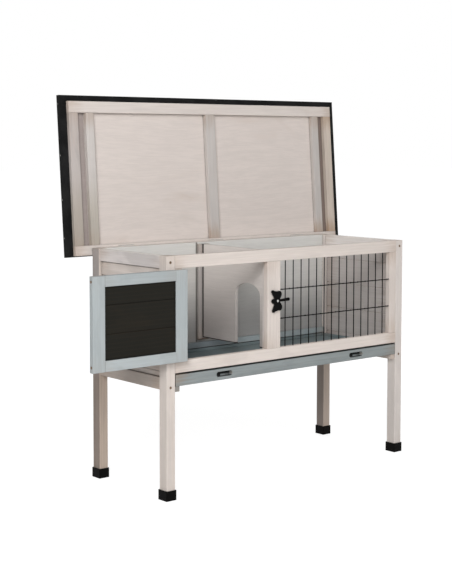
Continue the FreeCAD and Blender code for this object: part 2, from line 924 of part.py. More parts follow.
os.makedirs("parts", exist_ok=True)
write_frame()
write_tray()
write_door()
write_hinges()
write_lid()
write_button()
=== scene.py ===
import json
import math
import random
from types import SimpleNamespace

import bmesh
import bpy
from mathutils import Euler, Matrix, Vector, noise


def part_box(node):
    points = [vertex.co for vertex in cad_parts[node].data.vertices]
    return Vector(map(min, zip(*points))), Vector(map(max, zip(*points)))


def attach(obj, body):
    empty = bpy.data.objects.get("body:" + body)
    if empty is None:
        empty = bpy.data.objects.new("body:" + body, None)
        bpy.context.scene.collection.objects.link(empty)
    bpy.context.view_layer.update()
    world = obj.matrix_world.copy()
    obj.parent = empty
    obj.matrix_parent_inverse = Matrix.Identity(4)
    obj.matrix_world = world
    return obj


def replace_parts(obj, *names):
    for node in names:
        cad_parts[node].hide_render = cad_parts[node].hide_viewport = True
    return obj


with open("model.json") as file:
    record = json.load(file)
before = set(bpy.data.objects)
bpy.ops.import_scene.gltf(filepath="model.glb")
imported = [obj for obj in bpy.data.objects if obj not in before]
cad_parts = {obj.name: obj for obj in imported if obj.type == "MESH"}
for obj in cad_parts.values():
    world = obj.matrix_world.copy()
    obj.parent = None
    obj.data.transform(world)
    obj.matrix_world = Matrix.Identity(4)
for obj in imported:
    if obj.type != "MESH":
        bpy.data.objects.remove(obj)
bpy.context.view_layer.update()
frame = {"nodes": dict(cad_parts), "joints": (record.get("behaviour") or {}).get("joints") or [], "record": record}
NODES = frame["nodes"]
JOINTS = {joint["name"]: joint for joint in frame["joints"]}
OPENINGS = {opening["name"]: opening["box_m"] for opening in frame["record"]["physics"]["openings"]}

QUARTER_TURN = math.pi / 2
WHITE = (1.0, 1.0, 1.0, 1.0)

# The lid stands open in the frame, turned back about its hinge line
HINGE_LINE = Vector(JOINTS["lid_hinge"]["pos_m"])
LID_ANGLE = math.radians(JOINTS["lid_hinge"]["range_deg"][1])


def left_edge(node):
    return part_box(node)[0][0]


def right_edge(node):
    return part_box(node)[1][0]


def front_face(node):
    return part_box(node)[0][1]


def foot(node):
    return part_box(node)[0][2]


def top_edge(node):
    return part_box(node)[1][2]


# Camera, as found from the edges in the photograph

CAMERA_PLACE = (-1.94737, -2.55772, 0.88702)
CAMERA_YAW = math.radians(39.8501)
CAMERA_PITCH = math.radians(3.6815)
CAMERA_ROLL = math.radians(0.0899)
IMAGE_HEIGHT = 584
FOCAL_PIXELS = 1319.23
AXIS_ROW = 225
SENSOR = 36.0
CAMERA_REACH = 100.0


def make_camera():
    forward = Vector((
        math.sin(CAMERA_YAW) * math.cos(CAMERA_PITCH),
        math.cos(CAMERA_YAW) * math.cos(CAMERA_PITCH),
        -math.sin(CAMERA_PITCH),
    ))
    level_right = Vector((math.cos(CAMERA_YAW), -math.sin(CAMERA_YAW), 0.0))
    level_up = level_right.cross(forward)
    right = level_right * math.cos(CAMERA_ROLL) + level_up * math.sin(CAMERA_ROLL)
    up = level_up * math.cos(CAMERA_ROLL) - level_right * math.sin(CAMERA_ROLL)
    turn = Matrix((right, up, -forward)).transposed().to_4x4()
    data = bpy.data.cameras.new("camera")
    data.sensor_width = SENSOR
    data.sensor_fit = "AUTO"
    data.lens = FOCAL_PIXELS / IMAGE_HEIGHT * SENSOR
    data.shift_y = (AXIS_ROW - IMAGE_HEIGHT / 2) / IMAGE_HEIGHT
    data.clip_end = CAMERA_REACH
    camera = bpy.data.objects.new("camera", data)
    camera.matrix_world = Matrix.Translation(CAMERA_PLACE) @ turn
    bpy.context.scene.collection.objects.link(camera)
    bpy.context.scene.camera = camera


# Colours

def srgb(red, green, blue):
    """A colour given in 0 to 255, as the linear colour that the nodes take."""
    def linear(value):
        share = value / 255
        if share <= 0.04045:
            return share / 12.92
        return ((share + 0.055) / 1.055) ** 2.4
    return (linear(red), linear(green), linear(blue), 1.0)


def blend_colours(first, second, share):
    return tuple(a * (1 - share) + b * share for a, b in zip(first[:3], second[:3])) + (1.0,)


def scaled_colour(colour, factor):
    return tuple(min(1.0, value * factor) for value in colour[:3]) + (1.0,)


# Node helpers

class Graph:
    """Adds nodes to a tree, links them, and keeps the calls short."""

    def __init__(self, tree):
        tree.nodes.clear()
        self.tree = tree

    def add(self, kind, **settings):
        node = self.tree.nodes.new("ShaderNode" + kind)
        for key, value in settings.items():
            setattr(node, key, value)
        return node

    def put(self, value, socket):
        """Links a socket to another, or sets its value."""
        if isinstance(value, bpy.types.NodeSocket):
            self.tree.links.new(value, socket)
        else:
            socket.default_value = value

    def split(self, vector):
        """The parts of a vector, by the names X, Y and Z."""
        node = self.add("SeparateXYZ")
        self.put(vector, node.inputs[0])
        return node.outputs

    def stretch(self, vector, scale, turn=(0, 0, 0), shift=(0, 0, 0)):
        node = self.add("Mapping")
        self.put(vector, node.inputs["Vector"])
        self.put(shift, node.inputs["Location"])
        self.put(turn, node.inputs["Rotation"])
        self.put(scale, node.inputs["Scale"])
        return node.outputs["Vector"]

    def noise(self, vector, scale, detail=2.0, rough=0.5, distortion=0.0):
        node = self.add("TexNoise")
        self.put(vector, node.inputs["Vector"])
        self.put(scale, node.inputs["Scale"])
        self.put(detail, node.inputs["Detail"])
        self.put(rough, node.inputs["Roughness"])
        self.put(distortion, node.inputs["Distortion"])
        return node.outputs["Fac"]

    def drawn_out(self, vector, squeeze, scale, detail, rough=0.5, distortion=0.0, shift=(0, 0, 0)):
        """Noise that is drawn out along z, the more so the smaller the squeeze."""
        drawn = self.stretch(vector, (1, 1, squeeze), shift=shift)
        return self.noise(drawn, scale, detail, rough, distortion)

    def math(self, operation, first, second=0.0, clamp=False):
        node = self.add("Math", operation=operation, use_clamp=clamp)
        self.put(first, node.inputs[0])
        self.put(second, node.inputs[1])
        return node.outputs[0]

    def weighted(self, *pairs):
        """The sum of several values, each times its weight."""
        terms = [self.math("MULTIPLY", value, weight) for value, weight in pairs]
        total = terms[0]
        for term in terms[1:]:
            total = self.math("ADD", total, term)
        return total

    def remap(self, value, low, high, to_low=0.0, to_high=1.0):
        """Brings a value from one range to another, levelling off softly at both limits."""
        node = self.add("MapRange", interpolation_type="SMOOTHSTEP")
        self.put(value, node.inputs["Value"])
        self.put(low, node.inputs["From Min"])
        self.put(high, node.inputs["From Max"])
        self.put(to_low, node.inputs["To Min"])
        self.put(to_high, node.inputs["To Max"])
        return node.outputs["Result"]

    def mix(self, share, first, second, blend="MIX"):
        node = self.add("Mix", data_type="RGBA", blend_type=blend)
        self.put(share, node.inputs[0])
        self.put(first, node.inputs[6])
        self.put(second, node.inputs[7])
        return node.outputs[2]

    def worn_edge(self, radius, gain):
        """One at an edge of the mesh, nought on its faces, with the edge's softened normal."""
        bevel = self.add("Bevel", samples=4)
        self.put(radius, bevel.inputs["Radius"])
        plain = self.add("NewGeometry").outputs["Normal"]
        dot = self.add("VectorMath", operation="DOT_PRODUCT")
        self.put(bevel.outputs["Normal"], dot.inputs[0])
        self.put(plain, dot.inputs[1])
        turned = self.math("SUBTRACT", 1.0, dot.outputs["Value"])
        return self.math("MULTIPLY", turned, gain, clamp=True), bevel.outputs["Normal"]

    def crevice(self, distance, low, high, share):
        """How much painted shade a place takes, by how closely other faces stand round it."""
        node = self.add("AmbientOcclusion", samples=4)
        self.put(distance, node.inputs["Distance"])
        return self.remap(self.math("SUBTRACT", 1.0, node.outputs["AO"]), low, high, 0.0, share)

    def bump(self, height, distance, strength, normal=None):
        node = self.add("Bump")
        self.put(height, node.inputs["Height"])
        self.put(distance, node.inputs["Distance"])
        self.put(strength, node.inputs["Strength"])
        if normal is not None:
            self.put(normal, node.inputs["Normal"])
        return node.outputs["Normal"]


def new_material(name):
    """A material, its shader, and its graph, which also knows the object's place and normal."""
    material = bpy.data.materials.new(name)
    material.use_nodes = True
    graph = Graph(material.node_tree)
    shader = graph.add("BsdfPrincipled")
    graph.put(shader.outputs[0], graph.add("OutputMaterial").inputs["Surface"])
    source = graph.add("TexCoord")
    graph.place = source.outputs["Object"]
    graph.normal = source.outputs["Normal"]
    return material, graph, shader


def finish_surface(graph, shader, colour, normal, roughness):
    graph.put(colour, shader.inputs["Base Color"])
    graph.put(normal, shader.inputs["Normal"])
    graph.put(roughness, shader.inputs["Roughness"])


# Grain, as noise at several scales, drawn out along the wood

TIMBER_FIBRE = {"squeeze": 0.05, "scale": 1300, "detail": 3.0, "rough": 0.6}
TIMBER_STREAK = {"squeeze": 0.035, "scale": 260, "detail": 4.0, "rough": 0.62, "distortion": 0.25}
TIMBER_BROAD = {"squeeze": 0.12, "scale": 42, "detail": 2.0, "distortion": 0.4}
TIMBER_BLOTCH = {"squeeze": 0.3, "scale": 11, "detail": 4.0, "rough": 0.6, "distortion": 0.6}
TIMBER_MURK = {"squeeze": 0.45, "scale": 17, "detail": 3.0, "rough": 0.55, "distortion": 0.8,
               "shift": (3, 5, 7)}
RING_WAVE = {"Scale": 38.0, "Distortion": 3.2, "Detail": 2.0, "Detail Scale": 0.9}
RING_SQUEEZE = 0.06

SHEET_SWAY = {"squeeze": 0.35, "scale": 5.0, "detail": 2.0}
SHEET_FIBRE = {"squeeze": 0.04, "scale": 1200, "detail": 3.0, "rough": 0.6}
SHEET_STREAK = {"squeeze": 0.05, "scale": 330, "detail": 4.0, "rough": 0.65}
SHEET_FIGURE = {"squeeze": 0.12, "scale": 70, "detail": 3.0, "rough": 0.6, "distortion": 0.3}
SHEET_BLOTCH = {"squeeze": 0.4, "scale": 9, "detail": 3.0, "rough": 0.55, "distortion": 0.5}
SWAY_REACH = 0.06

# Turns that bring each direction of the grain to z
GRAIN_TURN = {
    "x": (0.0, -QUARTER_TURN, 0.0),
    "y": (QUARTER_TURN, 0.0, 0.0),
    "z": (0.0, 0.0, 0.0),
    "lid_x": (LID_ANGLE, -QUARTER_TURN, 0.0),
    "lid_y": (LID_ANGLE + QUARTER_TURN, 0.0, 0.0),
}


def own_shift(seed):
    """Where a piece's grain is taken from, so that no two pieces look the same."""
    draw = random.Random(seed)
    return (draw.uniform(-1, 1), draw.uniform(-1, 1), draw.uniform(-3, 3))


def along_extent(node, turn):
    """The node's lowest and highest place along its grain."""
    turned = Euler(turn).to_matrix()
    heights = [(turned @ vertex.co).z for vertex in NODES[node].data.vertices]
    return min(heights), max(heights)


# Bands of painted shade: an axis, the two levels between which they lie, their soft width, and a tint

FAR = 9.0
FACE_SKIN = 0.0005


def below(level, soft, tint):
    return ("Z", -FAR, level, soft, tint)


def above(level, soft, tint):
    return ("Z", level, FAR, soft, tint)


def left_of(level, soft, tint):
    return ("X", -FAR, level, soft, tint)


def right_of(level, soft, tint):
    return ("X", level, FAR, soft, tint)


def behind(level, soft, tint):
    return ("Y", level, FAR, soft, tint)


def shaded(graph, colour, bands, node, front_only):
    """Multiplies in the tint of each band of painted shade, on the whole piece or on its front face only."""
    split = graph.split(graph.place)
    for axis, low, high, soft, tint in bands:
        rise = graph.remap(split[axis], low - soft, low)
        fall = graph.remap(split[axis], high, high + soft, 1.0, 0.0)
        share = graph.math("MULTIPLY", rise, fall)
        if front_only:
            in_front = graph.math("LESS_THAN", split["Y"], front_face(node) + FACE_SKIN)
            share = graph.math("MULTIPLY", share, in_front)
        colour = graph.mix(share, colour, srgb(*tint), "MULTIPLY")
    return colour


# Painted timber, one look for each piece

BARE_WOOD = (158, 124, 92)
END_STAIN_LENGTH = 0.055
END_STAIN_RAGGED = 0.10
TIMBER_EDGE = 0.0014
TIMBER_BUMP = 0.0004
SHADE_FADE = 0.02
# The usual reach and limits of the painted shade in seams
USUAL_SEAM = (0.006, 0.35, 0.95)


def timber_figure(graph, along):
    """The grain at each scale, and its year rings."""
    wave = graph.add("TexWave", wave_type="RINGS", rings_direction="Z")
    graph.put(graph.stretch(along, (1, 1, RING_SQUEEZE)), wave.inputs["Vector"])
    for name, value in RING_WAVE.items():
        graph.put(value, wave.inputs[name])
    return SimpleNamespace(
        fibre=graph.drawn_out(along, **TIMBER_FIBRE),
        streak=graph.drawn_out(along, **TIMBER_STREAK),
        broad=graph.drawn_out(along, **TIMBER_BROAD),
        blotch=graph.drawn_out(along, **TIMBER_BLOTCH),
        murk=graph.drawn_out(along, **TIMBER_MURK),
        ring=wave.outputs["Fac"],
    )


def timber_tones(paint):
    """The paint's colour, lighter and darker ones, those where wood shows through it, and a near black one for the
    painted shade in crevices.
    """
    base = srgb(*paint)
    bare = srgb(*BARE_WOOD)
    dark = scaled_colour(base, 0.84)
    return SimpleNamespace(
        base=base,
        light=scaled_colour(base, 1.06),
        dark=dark,
        murky=scaled_colour(base, 0.72),
        crevice_shade=scaled_colour(base, 0.12),
        thin=blend_colours(base, bare, 0.5),
        raw=blend_colours(base, bare, 0.85),
        end_grain=blend_colours(dark, bare, 0.45),
    )


def painted_face(graph, figure, tones, streaks, rings, patches, cloud):
    """Paint with streaks, the lines of the rings, patches where it is thin, and murky clouds."""
    tone = graph.weighted((figure.streak, 0.6), (figure.broad, 0.4))
    varied = graph.mix(graph.remap(tone, 0.34, 0.66), tones.dark, tones.light)
    colour = graph.mix(streaks, tones.base, varied)
    line = graph.math("MULTIPLY", graph.remap(figure.ring, 0.75, 1.0), 0.18 * rings)
    colour = graph.mix(line, colour, tones.thin)
    patch = graph.remap(figure.blotch, 0.54, 0.74, 0.0, patches)
    patch = graph.math("MULTIPLY", patch, graph.remap(figure.streak, 0.30, 0.62))
    colour = graph.mix(patch, colour, tones.thin)
    return graph.mix(graph.remap(figure.murk, 0.50, 0.66, 0.0, cloud), colour, tones.murky)


def end_stain(graph, lengthwise, extent, figure, ends):
    """How far raw wood shows near the two ends of a board, with a ragged limit."""
    low, high = extent
    height = graph.split(lengthwise)["Z"]
    below_high = graph.math("SUBTRACT", high, height)
    above_low = graph.math("SUBTRACT", height, low)
    from_end = graph.math("MINIMUM", below_high, above_low)
    ragged = graph.math("MULTIPLY", graph.math("SUBTRACT", figure.streak, 0.5), END_STAIN_RAGGED)
    share = graph.remap(graph.math("ADD", from_end, ragged), 0.0, END_STAIN_LENGTH, ends, 0.0)
    return graph.math("MULTIPLY", share, graph.remap(figure.blotch, 0.35, 0.6, 0.3, 1.0))


def end_face(graph, turn):
    """How much end grain shows: only on the faces that are cut across the grain."""
    facing = graph.add("Mapping", vector_type="NORMAL")
    graph.put(graph.normal, facing.inputs["Vector"])
    graph.put(turn, facing.inputs["Rotation"])
    across = graph.split(facing.outputs["Vector"])
    return graph.remap(graph.math("ABSOLUTE", across["Z"]), 0.75, 0.95, 0.0, 0.5)


def faced(graph, colour, top, left):
    """Paints the faces that look up in a given colour, a painted highlight on lit tops and painted shade on shaded
    ones, and tints those that look left below a height with painted shade.
    """
    looks = graph.split(graph.normal)
    if top is not None:
        colour = graph.mix(graph.remap(looks["Z"], 0.55, 0.9, 0.0, 0.9), colour, srgb(*top))
    if left is not None:
        height, tint = left
        level = graph.split(graph.place)["Z"]
        under = graph.remap(level, height - SHADE_FADE, height + SHADE_FADE, 1.0, 0.0)
        share = graph.math("MULTIPLY", graph.remap(looks["X"], -0.9, -0.6, 1.0, 0.0), under)
        colour = graph.mix(share, colour, srgb(*tint), "MULTIPLY")
    return colour


def painted_timber(node, grain, paint, seed, streaks=0.5, rings=0.5, patches=0.3, cloud=0.2, ends=0.35,
                   worn=0.35, gloss=0.2, seam=USUAL_SEAM, top=None, left=None, bands=(), front_only=False):
    """Thin paint on softwood: grain shows through it, in places it is thinner, and edges are rubbed."""
    material, graph, shader = new_material("timber_" + node)
    turn = GRAIN_TURN[grain]
    lengthwise = graph.stretch(graph.place, (1, 1, 1), turn)
    figure = timber_figure(graph, graph.stretch(lengthwise, (1, 1, 1), shift=own_shift(seed)))
    tones = timber_tones(paint)

    colour = painted_face(graph, figure, tones, streaks, rings, patches, cloud)
    # Painted shade from the piece's bands
    colour = shaded(graph, colour, bands, node, front_only)
    stain = end_stain(graph, lengthwise, along_extent(node, turn), figure, ends)
    colour = graph.mix(stain, colour, tones.raw)
    colour = graph.mix(end_face(graph, turn), colour, tones.end_grain)
    edge, soft = graph.worn_edge(TIMBER_EDGE, 4.0)
    rub = graph.math("MULTIPLY", edge, graph.remap(figure.blotch, 0.38, 0.62, 0.25 * worn, worn))
    colour = graph.mix(rub, colour, tones.thin)
    pore = graph.remap(figure.fibre, 0.30, 0.44, 0.12, 0.0)
    colour = graph.mix(pore, colour, tones.dark)
    # Painted highlight and painted shade on the faces that look up and left
    colour = faced(graph, colour, top, left)
    # Painted shade in seams and crevices, the darker the more closely other faces stand round
    colour = graph.mix(graph.crevice(*seam, 0.85), colour, tones.crevice_shade)

    height = graph.weighted((figure.fibre, 0.5), (figure.streak, 0.9), (figure.ring, 0.25))
    roughness = graph.remap(figure.streak, 0.3, 0.7, 0.56, 0.72)
    finish_surface(graph, shader, colour, graph.bump(height, TIMBER_BUMP, 0.45, soft), roughness)
    shader.inputs["Specular IOR Level"].default_value = gloss
    return material


# Painted plywood, felt, plastic, wire and steel

def plywood(node, grain, paint, seed, patches=0.4, bands=(), front_only=False):
    """A thin painted veneer: fine wavy figure along the sheet, in long bands."""
    material, graph, shader = new_material("sheet_" + node)
    along = graph.stretch(graph.place, (1, 1, 1), GRAIN_TURN[grain], own_shift(seed))
    swayed = graph.add("VectorMath", operation="MULTIPLY_ADD")
    graph.put(graph.drawn_out(along, **SHEET_SWAY), swayed.inputs[0])
    graph.put((SWAY_REACH, SWAY_REACH, 0.0), swayed.inputs[1])
    graph.put(along, swayed.inputs[2])
    flow = swayed.outputs["Vector"]
    fibre = graph.drawn_out(flow, **SHEET_FIBRE)
    streak = graph.drawn_out(flow, **SHEET_STREAK)
    figure = graph.drawn_out(flow, **SHEET_FIGURE)
    blotch = graph.drawn_out(flow, **SHEET_BLOTCH)

    base = srgb(*paint)
    thin = blend_colours(base, srgb(*BARE_WOOD), 0.4)
    tone = graph.weighted((streak, 0.55), (figure, 0.45))
    varied = graph.mix(graph.remap(tone, 0.36, 0.64), scaled_colour(base, 0.90), scaled_colour(base, 1.04))
    colour = graph.mix(0.40, varied, base)
    patch = graph.remap(blotch, 0.58, 0.76, 0.0, patches)
    patch = graph.math("MULTIPLY", patch, graph.remap(streak, 0.3, 0.6))
    colour = graph.mix(patch, colour, thin)
    edge, soft = graph.worn_edge(0.0010, 4.0)
    colour = graph.mix(graph.math("MULTIPLY", edge, 0.3), colour, thin)
    # Painted shade from the sheet's bands
    colour = shaded(graph, colour, bands, node, front_only)
    # Painted shade in seams and crevices
    colour = graph.mix(graph.crevice(0.010, 0.35, 0.95, 0.8), colour, scaled_colour(base, 0.2))

    height = graph.weighted((fibre, 0.6), (streak, 0.7))
    roughness = graph.remap(figure, 0.3, 0.7, 0.60, 0.74)
    finish_surface(graph, shader, colour, graph.bump(height, 0.0003, 0.4, soft), roughness)
    shader.inputs["Specular IOR Level"].default_value = 0.3
    return material


def roofing_felt(name):
    """Black felt under fine mineral grit, a little greyer where the grit is coarse."""
    material, graph, shader = new_material(name)
    grit = graph.noise(graph.place, 1500, 2.0, 0.6)
    cloud = graph.noise(graph.place, 14, 4.0, 0.6, 0.4)
    cells = graph.add("TexVoronoi", feature="F1")
    graph.put(graph.place, cells.inputs["Vector"])
    graph.put(900.0, cells.inputs["Scale"])
    colour = graph.mix(graph.remap(cloud, 0.35, 0.68), srgb(20, 20, 20), srgb(34, 34, 34))
    colour = graph.mix(graph.remap(grit, 0.60, 0.74, 0.0, 0.4), colour, srgb(74, 74, 73))
    edge, soft = graph.worn_edge(0.0012, 3.0)
    colour = graph.mix(graph.math("MULTIPLY", edge, 0.25), colour, srgb(60, 60, 59))
    height = graph.math("ADD", cells.outputs["Distance"], graph.math("MULTIPLY", grit, 0.8))
    roughness = graph.remap(grit, 0.3, 0.7, 0.78, 0.95)
    finish_surface(graph, shader, colour, graph.bump(height, 0.0006, 0.7, soft), roughness)
    shader.inputs["Specular IOR Level"].default_value = 0.08
    return material


def black_plastic(name, rough=(0.38, 0.55)):
    """Moulded plastic with a fine grain and faint scuffs."""
    material, graph, shader = new_material(name)
    grain = graph.noise(graph.place, 2600, 2.0, 0.5)
    scuff = graph.drawn_out(graph.place, 0.4, 130, 4.0, 0.7, 0.5)
    edge, soft = graph.worn_edge(0.0008, 3.0)
    colour = graph.mix(graph.remap(scuff, 0.45, 0.75, 0.0, 0.5), srgb(4, 3, 3), srgb(13, 11, 9))
    colour = graph.mix(graph.math("MULTIPLY", edge, 0.35), colour, srgb(46, 44, 42))
    roughness = graph.remap(scuff, 0.3, 0.7, *rough)
    finish_surface(graph, shader, colour, graph.bump(grain, 0.0002, 0.35, soft), roughness)
    shader.inputs["Specular IOR Level"].default_value = 0.05
    return material


def coated_wire(name):
    """A satin black coating, a little uneven."""
    material, graph, shader = new_material(name)
    spots = graph.noise(graph.place, 420, 3.0, 0.6)
    colour = graph.mix(graph.remap(spots, 0.35, 0.7), srgb(8, 8, 8), srgb(18, 17, 16))
    roughness = graph.remap(spots, 0.3, 0.7, 0.35, 0.55)
    finish_surface(graph, shader, colour, graph.bump(spots, 0.0003, 0.4), roughness)
    shader.inputs["Specular IOR Level"].default_value = 0.04
    return material


def plated_steel(name, dull, bright, rust, metallic):
    """Brushed plating, clouded from dull to bright, with rust in its dullest spots."""
    material, graph, shader = new_material(name)
    cloud = graph.noise(graph.place, 160, 4.0, 0.65, 0.4)
    brush = graph.drawn_out(graph.place, 0.08, 1800, 2.0, 0.6)
    edge, soft = graph.worn_edge(0.0004, 3.0)
    colour = graph.mix(graph.remap(cloud, 0.35, 0.7), srgb(*dull), srgb(*bright))
    colour = graph.mix(graph.remap(cloud, 0.62, 0.8, 0.0, 0.35), colour, srgb(*rust))
    colour = graph.mix(graph.math("MULTIPLY", edge, 0.3), colour, scaled_colour(srgb(*bright), 1.3))
    roughness = graph.remap(cloud, 0.3, 0.7, 0.34, 0.52)
    finish_surface(graph, shader, colour, graph.bump(brush, 0.0001, 0.3, soft), roughness)
    shader.inputs["Metallic"].default_value = metallic
    return material


# The finish of each timber node: its grain, its paint, and what differs from the usual look

CREAM = (222, 212, 205)
CREAM_GREY = (218, 210, 205)
REAR_CREAM = (212, 202, 194)
SILL_CREAM = (226, 216, 209)
SHADED_SILL = (198, 187, 179)
CLEAT_CREAM = (214, 206, 201)
LEFT_RAIL_CREAM = (227, 220, 217)
RIGHT_RAIL_CREAM = (234, 228, 224)
LID_CREAM = (218, 209, 203)
LID_GREY = (196, 190, 186)
LID_PALE_GREY = (204, 198, 194)
LID_STILE = (192, 184, 180)
LID_BROWN = (205, 192, 180)
KICK_GREY = (166, 176, 179)
DOOR_GREY = (173, 180, 182)
DOOR_TOP_GREY = (169, 176, 178)
DOOR_FOOT_GREY = (179, 186, 188)
DOOR_BLACK = (31, 30, 26)
TRAY_GREY = (146, 153, 154)
TRAY_FLOOR = (122, 134, 136)

# Painted light on single faces: a painted highlight on the side rails' tops, painted shade on faces that look left
# and on the tray front's top
LIT_EDGE = (238, 234, 228)
SHADED_SIDE = (205, 206, 210)
RIGHT_WALL_SHADE = (228, 229, 231)
SHADED_TRAY_TOP = (42, 44, 44)

# How far off other faces still darken a seam with painted shade, and how closed it is where that shade starts and
# where it is full
WALL_SEAM = (0.012, 0.15, 0.7)
CLEAT_SEAM = (0.010, 0.12, 0.6)
DOOR_SEAM = (0.014, 0.08, 0.55)

DOOR_WASH = {"patches": 0.1, "ends": 0.1, "rings": 0.2, "cloud": 0.35}

SLOT_LOW, SLOT_HIGH = OPENINGS["left_hand_slot"]
OTHER_SLOT_LOW = OPENINGS["right_hand_slot"][0]
# Colours of the painted shadow seen through the hand slots
SLOT_SHADOW_DARK = (44, 42, 40)
SLOT_SHADOW_DIM = (60, 58, 56)

# The height below which the rear right post's left side takes painted shade
UNDER_BODY = foot("left_sill") + 0.017
# Painted shade on the rear legs under the body, where its shadow falls
LEG_SHADE_UNDER_BODY = [below(foot("left_sill") - 0.013, 0.06, (232, 222, 213))]
# Painted shade, darker towards the foot of the open lid
LID_FOOT_SHADE = [below(HINGE_LINE.z + 0.0747, 0.15, (232, 230, 222))]
# Painted shade on the tray in the left room
LEFT_ROOM_SHADE = [left_of(left_edge("divider") - 0.054, 0.14, (214, 217, 220))]
# Painted shade on the kick strip's left part, where the divider's shadow falls
KICK_STRIP_SHADE = [left_of(right_edge("divider") + 0.057, 0.05, (206, 207, 210))]
# Painted shade along the tray front's top edge, widening the dark gap under the sill
TRAY_GAP_SHADE = [above(top_edge("tray_front") - 0.0014, 0.0004, (70, 72, 72))]
# Painted shadow along the cleats' foot, and painted shade towards the back
CLEAT_SHADE = [
    below(foot("divider_cleats") + 0.002, 0.001, (70, 66, 62)),
    behind(0.20, 0.02, (218, 219, 221)),
]
# Painted shadow on the inner front, along the top and left edges of the hand slots
SLOT_SHADOW = [
    above(SLOT_LOW[2] + 0.0022, 0.0006, SLOT_SHADOW_DARK),
    left_of(SLOT_LOW[0] + 0.0225, 0.0006, SLOT_SHADOW_DIM),
    ("X", SLOT_HIGH[0] + 0.07, OTHER_SLOT_LOW[0] + 0.028, 0.0006, SLOT_SHADOW_DIM),
]

TIMBER = {
    "front_left_post": ("z", CREAM, {"ends": 0.1}),
    "front_right_post": ("z", CREAM_GREY, {"ends": 0.1}),
    "rear_left_post": ("z", REAR_CREAM, {"streaks": 0.9, "rings": 1.0, "ends": 0.1, "bands": LEG_SHADE_UNDER_BODY,
                                         "left": (FAR, SHADED_SIDE)}),
    "rear_right_post": ("z", CREAM_GREY, {"streaks": 0.6, "patches": 0.15, "ends": 0.1, "bands": LEG_SHADE_UNDER_BODY,
                                          "left": (UNDER_BODY, SHADED_SIDE)}),
    "left_stile": ("z", CREAM, {}),
    "middle_stile": ("z", CREAM, {}),
    "right_stile": ("z", CREAM, {}),
    "front_top_rail": ("x", CREAM, {"cloud": 0.1}),
    "front_sill": ("x", SILL_CREAM, {}),
    "back_top_rail": ("x", CREAM, {}),
    "back_sill": ("x", CREAM, {}),
    "left_top_rail": ("y", LEFT_RAIL_CREAM, {"cloud": 0.5, "top": LIT_EDGE}),
    "right_top_rail": ("y", RIGHT_RAIL_CREAM, {"top": LIT_EDGE}),
    "left_sill": ("y", SHADED_SILL, {"patches": 0.8, "cloud": 0.6}),
    "right_sill": ("y", CREAM, {}),
    "left_wall_boards": ("y", CREAM, {"seam": WALL_SEAM, "cloud": 0.45}),
    "right_wall_boards": ("y", CREAM_GREY, {"seam": WALL_SEAM, "left": (FAR, RIGHT_WALL_SHADE)}),
    "divider_cleats": ("z", CLEAT_CREAM, {"seam": CLEAT_SEAM, "patches": 0.1, "bands": CLEAT_SHADE}),
    "back_kick_strip": ("x", KICK_GREY, {"bands": KICK_STRIP_SHADE}),
    "left_tray_runner": ("y", TRAY_GREY, {}),
    "right_tray_runner": ("y", CREAM_GREY, {}),
    "tray_front": ("x", TRAY_GREY, {"streaks": 0.9, "patches": 0.25, "ends": 0.4, "top": SHADED_TRAY_TOP,
                                    "bands": TRAY_GAP_SHADE}),
    "tray_inner_front": ("x", TRAY_GREY, {"bands": SLOT_SHADOW, "front_only": True}),
    "tray_back": ("x", TRAY_FLOOR, {"bands": LEFT_ROOM_SHADE}),
    "tray_left_side": ("y", TRAY_FLOOR, {}),
    "tray_right_side": ("y", TRAY_FLOOR, {}),
    "door_hinge_stile": ("z", DOOR_GREY, DOOR_WASH),
    "door_latch_stile": ("z", DOOR_GREY, DOOR_WASH),
    "door_top_rail": ("x", DOOR_TOP_GREY, DOOR_WASH),
    "door_bottom_rail": ("x", DOOR_FOOT_GREY, DOOR_WASH),
    "door_boards": ("x", DOOR_BLACK, {"streaks": 0.35, "rings": 0.1, "patches": 0.03, "cloud": 0.0,
                                      "ends": 0.0, "worn": 0.1, "gloss": 0.08, "seam": DOOR_SEAM}),
    "lid_front_rail": ("lid_x", LID_CREAM, {"cloud": 0.05}),
    "lid_back_rail": ("lid_x", LID_CREAM, {}),
    "lid_left_stile": ("lid_y", LID_STILE, {"patches": 0.6, "cloud": 0.6, "ends": 0.3, "bands": LID_FOOT_SHADE}),
    "lid_right_stile": ("lid_y", LID_BROWN, {"streaks": 0.8, "patches": 0.9, "cloud": 0.5, "ends": 0.8}),
    "lid_left_batten": ("lid_y", LID_PALE_GREY, {"patches": 0.4, "ends": 0.4, "bands": LID_FOOT_SHADE}),
    "lid_middle_batten": ("lid_y", LID_GREY, {"patches": 0.3, "ends": 0.5}),
    "lid_right_batten": ("lid_y", LID_GREY, {"patches": 0.3, "ends": 0.7}),
}


# The finish of each sheet of plywood

DECK_PLY = (216, 206, 200)
BACK_PLY = (214, 212, 208)
DIVIDER_PLY = (222, 215, 210)


def batten_shadow_line(node, tint):
    """A painted shadow on the deck along the right hand edge of a batten."""
    edge = right_edge(node)
    return ("X", edge, edge + 0.0026, 0.001, tint)


# Painted shadow on the lid deck: on the strips beside the stiles and along the battens
DECK_SHADOWS = [
    left_of(left_edge("lid_left_batten") - 0.002, 0.002, (186, 182, 183)),
    right_of(right_edge("lid_right_batten") + 0.002, 0.002, (150, 140, 135)),
    batten_shadow_line("lid_left_batten", (176, 170, 167)),
    batten_shadow_line("lid_middle_batten", (150, 143, 139)),
    batten_shadow_line("lid_right_batten", (120, 112, 108)),
]
CLEAT_LEFT = left_edge("divider_cleats")
# Painted shade on the back panel, darker towards the bottom, and a painted shadow line beside the cleats
BACK_PANEL_SHADE = [
    below(foot("divider") - 0.001, 0.17, (200, 200, 202)),
    ("X", CLEAT_LEFT - 0.0042, CLEAT_LEFT + 0.001, 0.0008, (156, 152, 148)),
]
